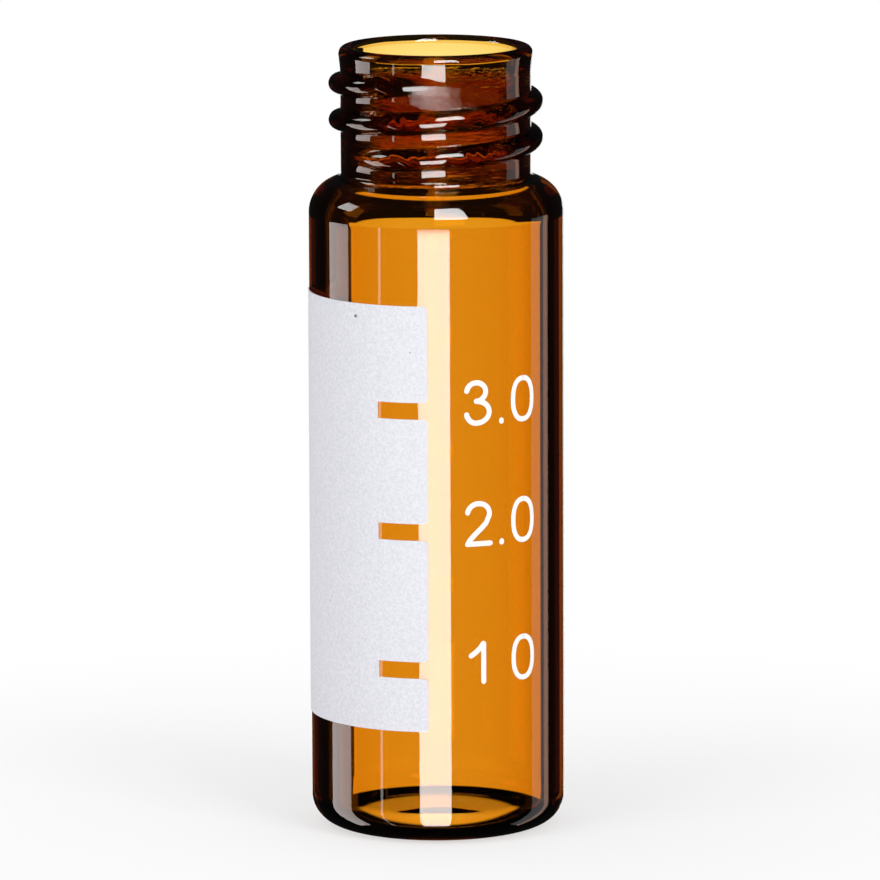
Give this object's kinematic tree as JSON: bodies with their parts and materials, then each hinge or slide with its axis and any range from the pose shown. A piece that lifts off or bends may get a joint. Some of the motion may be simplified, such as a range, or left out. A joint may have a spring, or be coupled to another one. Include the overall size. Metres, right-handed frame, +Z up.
{
  "type": "glass sample vial",
  "caption": "Slim amber glass sample vial with a screw-thread neck, open rounded mouth, flat base, a notched white write-on patch and printed filling marks.",
  "frame": {"origin": "centre of the base, at the level of the surface the vial stands on", "axes": "+Z up the vial's axis and out of the mouth; -Y is the front, where the right-hand border of the write-on patch is, and the patch runs from there towards -X"},
  "size_m": [0.0148, 0.0148, 0.0455],
  "materials": {
    "amber_glass": "clear polished amber tubing glass",
    "white_enamel": "matt fired enamel for writing on"
  },
  "bodies": {
    "root": {"glass_body": "amber_glass", "write_on_patch": "white_enamel"}
  },
  "joints": []
}
